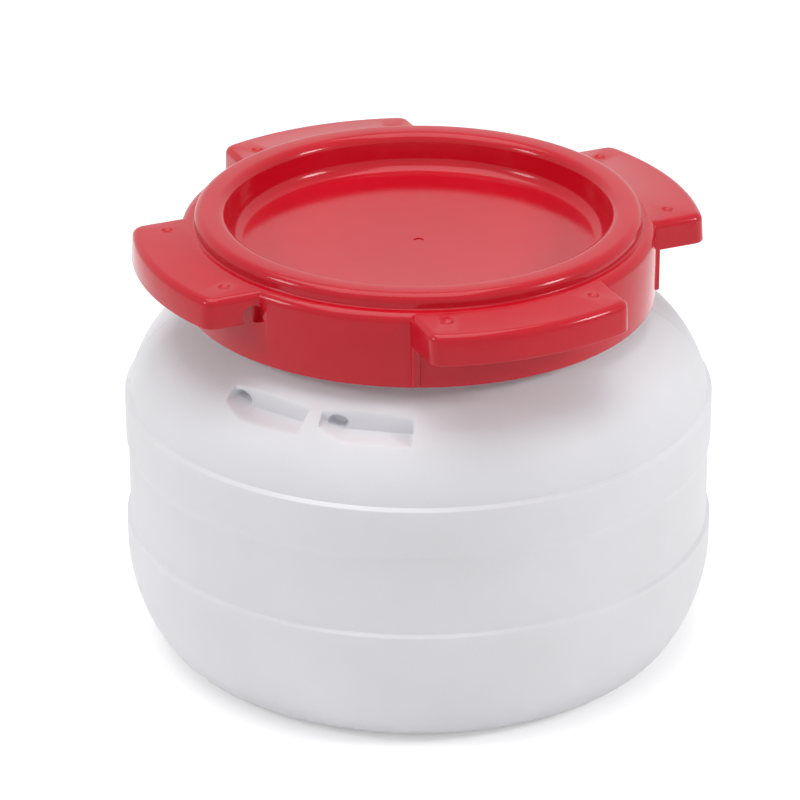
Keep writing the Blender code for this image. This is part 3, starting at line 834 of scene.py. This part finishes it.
def lid_outline(lid):
    """The outline round the lid's wall, from the middle of its panel round to below it."""
    floor_radius = RING_INNER - RECESS_DRAFT
    plug_radius = CHANNEL_INNER - RECESS_DRAFT
    under = PLATEAU_Z - LID_WALL
    bm, tip = start_outline(0.0, PANEL_Z)
    draw_path(bm, tip, [
        (floor_radius, PANEL_Z), (RING_INNER, RING_TOP_Z), (RING_OUTER, RING_TOP_Z),
        (RING_OUTER, PLATEAU_Z), (SKIRT_RADIUS, PLATEAU_Z), (SKIRT_RADIUS, SKIRT_FOOT_Z),
        (SKIRT_BORE, SKIRT_FOOT_Z), (SKIRT_BORE, under), (CHANNEL_OUTER, under),
        (CHANNEL_OUTER, CHANNEL_ROOF_Z), (CHANNEL_INNER, CHANNEL_ROOF_Z),
        (plug_radius, PANEL_Z - LID_WALL), (0.0, PANEL_Z - LID_WALL)])
    for radius, height, rounding in (
            (floor_radius, PANEL_Z, PANEL_FILLET),
            (RING_INNER, RING_TOP_Z, RING_INNER_ROUND),
            (RING_OUTER, RING_TOP_Z, RING_OUTER_ROUND),
            (RING_OUTER, PLATEAU_Z, RING_FOOT_ROUND),
            (SKIRT_RADIUS, PLATEAU_Z, lid.skirt_edge),
            (SKIRT_RADIUS, SKIRT_FOOT_Z, SKIRT_FOOT_ROUND),
            (SKIRT_BORE, SKIRT_FOOT_Z, SKIRT_BORE_ROUND),
            (SKIRT_BORE, under, SKIRT_BORE_ROUND),
            (plug_radius, PANEL_Z - LID_WALL, PLUG_ROUND)):
        round_corner(bm, radius, height, rounding)
    return bm


def block_between(inner, outer, start, end, foot, head):
    """A block between two radii and two places along Y, pointing along +X, from foot to head."""
    plan = []
    for radius, first, last in ((inner, end, start), (outer, start, end)):
        low, high = math.asin(first / radius), math.asin(last / radius)
        for index in range(LUG_ARC_STEPS + 1):
            angle = low + (high - low) * index / LUG_ARC_STEPS
            plan.append((radius * math.cos(angle), radius * math.sin(angle), foot))
    bm = bmesh.new()
    floor = bm.faces.new([bm.verts.new(place) for place in plan])
    lifted = bmesh.ops.extrude_face_region(bm, geom=[floor], use_keep_orig=True)
    raised = [item for item in lifted["geom"] if isinstance(item, bmesh.types.BMVert)]
    bmesh.ops.translate(bm, verts=raised, vec=(0.0, 0.0, head - foot))
    bmesh.ops.recalc_face_normals(bm, faces=bm.faces)
    return bm


def round_edges(bm, edges, offset, segments):
    """Round edges by an offset."""
    bmesh.ops.bevel(bm, geom=edges, offset=offset, offset_type='OFFSET', affect='EDGES',
                    segments=segments, profile=0.5, material=-1)


def round_uprights(bm, offset, segments, limit):
    """Round the upright corners that stand further out than a radius."""
    corners = [edge for edge in bm.edges
               if abs(edge.verts[0].co.z - edge.verts[1].co.z) > offset
               and min(math.hypot(*vert.co.xy) for vert in edge.verts) > limit
               and edge.calc_face_angle() > math.radians(45)]
    round_edges(bm, corners, offset, segments)


def lug_block(lid):
    """One grip lug as a solid block, its wall leaning in, with rounded corners and edges."""
    bm = block_between(SKIRT_RADIUS - LUG_ROOT_BITE, lid.lug_radius, -LUG_HALF_WIDTH,
                       LUG_HALF_WIDTH, LUG_FOOT_Z, LUG_TOP_Z)
    for vert in bm.verts:
        radius = math.hypot(*vert.co.xy)
        if vert.co.z > LUG_TOP_Z - WELD and radius > SKIRT_RADIUS:
            vert.co.x -= lid.lug_draft
    round_uprights(bm, lid.lug_corner, 6, SKIRT_RADIUS)
    for level, width, segments in ((LUG_TOP_Z, lid.lug_edge, 5),
                                   (LUG_FOOT_Z, LUG_FOOT_ROUND, 3)):
        rim = [edge for edge in bm.edges
               if max(abs(vert.co.z - level) for vert in edge.verts) < WELD
               and max(math.hypot(*vert.co.xy) for vert in edge.verts) > SKIRT_RADIUS]
        round_edges(bm, rim, width, segments)
    bmesh.ops.triangulate(bm, faces=bm.faces)
    return bm


def lug_cells(lid):
    """The cells that hollow a lug from below, as cutters."""
    room = 2 * (LUG_HALF_WIDTH - lid.lug_wall)
    width = (room - CELL_RIB * (lid.lug_cells - 1)) / lid.lug_cells
    for index in range(lid.lug_cells):
        start = -room / 2 + index * (width + CELL_RIB)
        bm = block_between(SKIRT_RADIUS + CELL_ROOT_GAP, lid.lug_radius - lid.lug_wall, start,
                           start + width, LUG_FOOT_Z - CELL_OVERRUN, LUG_TOP_Z - lid.lug_wall)
        round_uprights(bm, CELL_CORNER, 3, 0.0)
        bmesh.ops.triangulate(bm, faces=bm.faces)
        yield bm


def gusset_shape():
    """The upright rib that carries a lug's end wall on down the skirt."""
    inner, outer = LUG_END_ROOT - GUSSET_BITE, LUG_END_ROOT + GUSSET_REACH
    foot, head = SKIRT_FOOT_Z + GUSSET_FOOT_RISE, LUG_FOOT_Z + GUSSET_HEAD_RISE
    bm = box_shape((outer - inner, GUSSET_WIDTH, head - foot),
                   ((inner + outer) / 2, -LUG_HALF_WIDTH + GUSSET_MIDDLE, (foot + head) / 2))
    outer_edges = [edge for edge in bm.edges
                   if min(vert.co.x for vert in edge.verts) > outer - WELD]
    round_edges(bm, outer_edges, GUSSET_ROUND, 4)
    return bm


def eye_shape(lid):
    """The round way through a lug's end wall for a seal wire."""
    bm = bmesh.new()
    bmesh.ops.create_cone(bm, cap_ends=True, cap_tris=False, segments=40,
                          radius1=lid.eye_radius, radius2=lid.eye_radius, depth=EYE_LENGTH)
    bmesh.ops.rotate(bm, verts=bm.verts, cent=(0, 0, 0),
                     matrix=Matrix.Rotation(math.pi / 2, 3, 'X'))
    bmesh.ops.translate(bm, verts=bm.verts, vec=(
        LUG_END_ROOT + EYE_SET_OUT, LUG_HALF_WIDTH - lid.lug_wall + EYE_INSET, LUG_FOOT_Z + EYE_RISE))
    return bm


def dimple_shape(lid, side):
    """A round cutter for the shallow dimple near one end of a lug's top."""
    sphere = (lid.dimple_radius ** 2 + lid.dimple_depth ** 2) / (2 * lid.dimple_depth)
    angle = DIMPLE_AZIMUTH * side
    bm = bmesh.new()
    bmesh.ops.create_uvsphere(bm, u_segments=32, v_segments=20, radius=sphere)
    bmesh.ops.translate(bm, verts=bm.verts, vec=(
        DIMPLE_RING * math.cos(angle), DIMPLE_RING * math.sin(angle),
        LUG_TOP_Z - lid.dimple_depth + sphere))
    return bm


def gate_mark():
    """A cutter for the shallow round mark of the gate, in the middle of the panel."""
    bm = bmesh.new()
    bmesh.ops.create_cone(bm, cap_ends=True, cap_tris=False, segments=32,
                          radius1=GATE_FOOT_RADIUS, radius2=GATE_RADIUS, depth=GATE_TOOL_HEIGHT)
    bmesh.ops.translate(bm, verts=bm.verts,
                        vec=(0.0, 0.0, PANEL_Z - GATE_DEPTH + GATE_TOOL_HEIGHT / 2))
    return bm


def all_lugs(lid, turns):
    """The four lugs with their gussets and dimples, in one bmesh."""
    item = new_object("lug", lug_block(lid))
    cut_or_join(item, gusset_shape(), "gusset", 'UNION')
    for cell in lug_cells(lid):
        cut_or_join(item, cell, "cell", 'DIFFERENCE')
    for side in (-1, 1):
        cut_or_join(item, dimple_shape(lid, side), "dimple", 'DIFFERENCE')
    bm = bmesh.new()
    bm.from_mesh(item.data)
    bmesh.ops.triangulate(bm, faces=bm.faces)
    bpy.data.objects.remove(item, do_unlink=True)
    return copies(bm, turns)


# Operators


class DRUM_OT_body(bpy.types.Operator):
    """Build the blown body with its pockets, neck thread and base seam"""

    bl_idname = "drum.body"
    bl_label = "Drum body"

    def execute(self, context):
        body = context.scene.drum_body_settings
        low, high = POCKET_SECTOR
        bm = body_outline(body)
        split_shoulder(bm, body)
        spin_sectors(bm, ((high, math.tau - (high - low), PLAIN_SECTOR_STEPS),
                          (low, high - low, POCKET_SECTOR_STEPS)))
        press_pockets(bm, body)
        item = new_object("drum_shell", bm)
        thread = two_starts(0.0, THREAD_START_Z, NECK_RADIUS, NECK_RADIUS + body.thread_height,
                            body.thread_width, body.thread_lead, THREAD_TURNS)
        cut_or_join(item, thread, "thread", 'UNION')
        cut_or_join(item, base_seam(body), "seam", 'UNION')
        finish_piece(item, drum_plastic(body), "drum", "drum_body")
        return {'FINISHED'}


class DRUM_OT_seal(bpy.types.Operator):
    """Build the foam seal that lies in the lid's channel"""

    bl_idname = "drum.seal"
    bl_label = "Lid seal"

    def execute(self, context):
        seal = context.scene.lid_seal_settings
        low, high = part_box("lid_seal")
        inner, outer = CHANNEL_INNER + seal.clearance, CHANNEL_OUTER - seal.clearance
        foot, head = low.z, low.z + seal.thickness
        bm, tip = start_outline(inner, foot)
        tip = draw_path(bm, tip, [(outer, foot), (outer, head), (inner, head)])
        first = min(bm.verts, key=lambda vert: (vert.co - Vector((inner, 0.0, foot))).length)
        bm.edges.new((tip, first))
        for radius, height in ((inner, foot), (outer, foot), (outer, head), (inner, head)):
            round_corner(bm, radius, height, seal.edge)
        spin_full(bm, SEAL_STEPS)
        item = new_object("seal_ring", bm)
        finish_piece(item, seal_foam(seal), "seal", "lid_seal")
        return {'FINISHED'}


class DRUM_OT_lid(bpy.types.Operator):
    """Build the screw lid with its grip lugs, gussets, eyes, dimples, thread and gate mark"""

    bl_idname = "drum.lid"
    bl_label = "Screw lid"

    def execute(self, context):
        lid = context.scene.screw_lid_settings
        bm = lid_outline(lid)
        spin_full(bm)
        item = new_object("lid_shell", bm)
        turns = [Matrix.Rotation(FIRST_LUG_AZIMUTH + math.tau * index / LUG_COUNT, 3, 'Z')
                 for index in range(LUG_COUNT)]
        cut_or_join(item, all_lugs(lid, turns), "lugs", 'UNION')
        cut_or_join(item, copies(eye_shape(lid), turns), "eyes", 'DIFFERENCE')
        body = context.scene.drum_body_settings
        thread = two_starts(0.0, THREAD_START_Z + THREAD_PITCH_SHIFT, SKIRT_BORE,
                            SKIRT_BORE - lid.thread_height, body.thread_width, body.thread_lead,
                            THREAD_TURNS)
        cut_or_join(item, thread, "thread", 'UNION')
        cut_or_join(item, gate_mark(), "gate", 'DIFFERENCE')
        finish_piece(item, lid_plastic(lid), "lid", "screw_lid", LID_SHARP)
        return {'FINISHED'}


class DRUM_OT_studio(bpy.types.Operator):
    """Set the pale floor, the two side lamps, the lamp above, the sky and the camera"""

    bl_idname = "drum.studio"
    bl_label = "Studio"

    def execute(self, context):
        studio = context.scene.studio_settings
        lay_floor(studio)
        set_sky(context.scene, studio)
        hang_lamp(studio, -1, studio.left_power)
        hang_lamp(studio, 1, studio.right_power)
        hang_top_lamp(studio)
        set_camera(context.scene, studio)
        context.scene.view_settings.view_transform = 'Standard'
        return {'FINISHED'}


# Stage


def seen_rays(tree):
    """A value that is 1 on camera, glossy and transmission rays."""
    paths = tree.nodes.new("ShaderNodeLightPath")
    total = None
    for output in ("Is Camera Ray", "Is Glossy Ray", "Is Transmission Ray"):
        if total is None:
            total = paths.outputs[output]
            continue
        join = tree.nodes.new("ShaderNodeMath")
        join.operation = 'MAXIMUM'
        tree.links.new(total, join.inputs[0])
        tree.links.new(paths.outputs[output], join.inputs[1])
        total = join.outputs[0]
    return total


def lay_floor(studio):
    """A pale floor that keeps the drum's shadow."""
    bm = bmesh.new()
    bmesh.ops.create_grid(bm, x_segments=1, y_segments=1, size=studio.floor_size / 2)
    bmesh.ops.translate(bm, verts=bm.verts, vec=(0.0, 0.0, -FLOOR_DROP))
    item = new_object("floor", bm)
    material = bpy.data.materials.new("pale_floor")
    material.use_nodes = True
    tree = material.node_tree
    shader = tree.nodes["Principled BSDF"]
    shader.inputs["Base Color"].default_value = (*[FLOOR_SHADE] * 3, 1.0)
    shader.inputs["Roughness"].default_value = 0.9
    shader.inputs["Specular IOR Level"].default_value = 0.0
    glow = tree.nodes.new("ShaderNodeEmission")
    glow.inputs["Strength"].default_value = FLOOR_GLOW
    total = tree.nodes.new("ShaderNodeAddShader")
    choice = tree.nodes.new("ShaderNodeMixShader")
    tree.links.new(shader.outputs[0], total.inputs[0])
    tree.links.new(glow.outputs[0], total.inputs[1])
    tree.links.new(seen_rays(tree), choice.inputs[0])
    tree.links.new(shader.outputs[0], choice.inputs[1])
    tree.links.new(total.outputs[0], choice.inputs[2])
    tree.links.new(choice.outputs[0], tree.nodes["Material Output"].inputs["Surface"])
    item.data.materials.append(material)


def set_sky(scene, studio):
    """Plain light from all round, stronger in front, and a white background where it is seen."""
    world = bpy.data.worlds.new("studio_sky")
    scene.world = world
    world.use_nodes = True
    tree = world.node_tree
    sky = tree.nodes["Background"]
    sky.inputs["Color"].default_value = (1.0, 1.0, 1.0, 1.0)
    coordinates = tree.nodes.new("ShaderNodeTexCoord")
    parts = tree.nodes.new("ShaderNodeSeparateXYZ")
    level = tree.nodes.new("ShaderNodeMapRange")
    for name, value in (("From Min", -1.0), ("From Max", 1.0), ("To Min", studio.sky_level),
                        ("To Max", studio.sky_level * studio.sky_share)):
        level.inputs[name].default_value = value
    tree.links.new(coordinates.outputs["Generated"], parts.inputs[0])
    tree.links.new(parts.outputs["Y"], level.inputs["Value"])
    tree.links.new(level.outputs["Result"], sky.inputs["Strength"])
    white = tree.nodes.new("ShaderNodeBackground")
    white.inputs["Strength"].default_value = 1.0
    white.inputs["Color"].default_value = (1.0, 1.0, 1.0, 1.0)
    choice = tree.nodes.new("ShaderNodeMixShader")
    tree.links.new(seen_rays(tree), choice.inputs[0])
    tree.links.new(sky.outputs[0], choice.inputs[1])
    tree.links.new(white.outputs[0], choice.inputs[2])
    tree.links.new(choice.outputs[0], tree.nodes["World Output"].inputs["Surface"])


def square_lamp(name, power, size):
    """A soft square lamp that shines straight down."""
    lamp = bpy.data.lights.new(name, 'AREA')
    lamp.energy = power
    lamp.size = size
    item = bpy.data.objects.new(name, lamp)
    bpy.context.scene.collection.objects.link(item)
    return item


def hang_lamp(studio, side, power):
    """A lamp at one side, a little in front of the drum and turned to it."""
    item = square_lamp("side_lamp", power, studio.lamp_size)
    flat = math.cos(studio.lamp_elevation)
    away = Vector((side * math.sin(studio.lamp_side) * flat, -math.cos(studio.lamp_side) * flat,
                   math.sin(studio.lamp_elevation)))
    target = Vector((0.0, 0.0, studio.aim_height))
    item.location = target + away * studio.lamp_distance
    item.rotation_euler = (-away).to_track_quat('-Z', 'Y').to_euler()


def hang_top_lamp(studio):
    """A wide lamp above the drum, a little to its left."""
    item = square_lamp("top_lamp", studio.top_power, studio.top_size)
    item.location = (-studio.top_shift, 0.0, studio.top_height)


def set_camera(scene, studio):
    """The camera, in front and above, framed as the photograph is."""
    data = bpy.data.cameras.new("camera")
    data.sensor_width = SENSOR_WIDTH
    data.lens = studio.lens
    data.shift_x, data.shift_y = SHIFT
    item = bpy.data.objects.new("camera", data)
    scene.collection.objects.link(item)
    rise = studio.camera_distance * math.sin(studio.camera_elevation)
    item.location = (0.0, -studio.camera_distance * math.cos(studio.camera_elevation),
                     studio.aim_height + rise)
    item.rotation_euler = (math.pi / 2 - studio.camera_elevation, 0.0, 0.0)
    scene.camera = item


class DRUM_PT_panel(bpy.types.Panel):
    """The drum's operators and their sizes and colours"""

    bl_idname = "DRUM_PT_panel"
    bl_label = "Drum"
    bl_space_type = 'VIEW_3D'
    bl_region_type = 'UI'
    bl_category = "Drum"

    def draw(self, context):
        for operator, group in PANEL_ROWS:
            box = self.layout.box()
            box.operator(operator)
            settings = getattr(context.scene, group)
            for name in settings.bl_rna.properties.keys():
                if name not in {"rna_type", "name"}:
                    box.prop(settings, name)


SETTINGS = (
    ("drum_body_settings", DrumBodySettings),
    ("lid_seal_settings", LidSealSettings),
    ("screw_lid_settings", ScrewLidSettings),
    ("studio_settings", StudioSettings),
)
PANEL_ROWS = (
    ("drum.body", "drum_body_settings"),
    ("drum.seal", "lid_seal_settings"),
    ("drum.lid", "screw_lid_settings"),
    ("drum.studio", "studio_settings"),
)
CLASSES = (DrumBodySettings, LidSealSettings, ScrewLidSettings, StudioSettings, DRUM_OT_body,
           DRUM_OT_seal, DRUM_OT_lid, DRUM_OT_studio, DRUM_PT_panel)


def register():
    """Register the classes and hang the settings on the scene."""
    for item in CLASSES:
        bpy.utils.register_class(item)
    for name, group in SETTINGS:
        setattr(bpy.types.Scene, name, PointerProperty(type=group))


def unregister():
    """Take the settings and the classes away again."""
    for name, _ in SETTINGS:
        delattr(bpy.types.Scene, name)
    for item in reversed(CLASSES):
        bpy.utils.unregister_class(item)


def main():
    """Build the pieces and the stage."""
    register()
    bpy.ops.drum.body()
    bpy.ops.drum.seal()
    bpy.ops.drum.lid()
    bpy.ops.drum.studio()


if __name__ == "__main__":
    main()
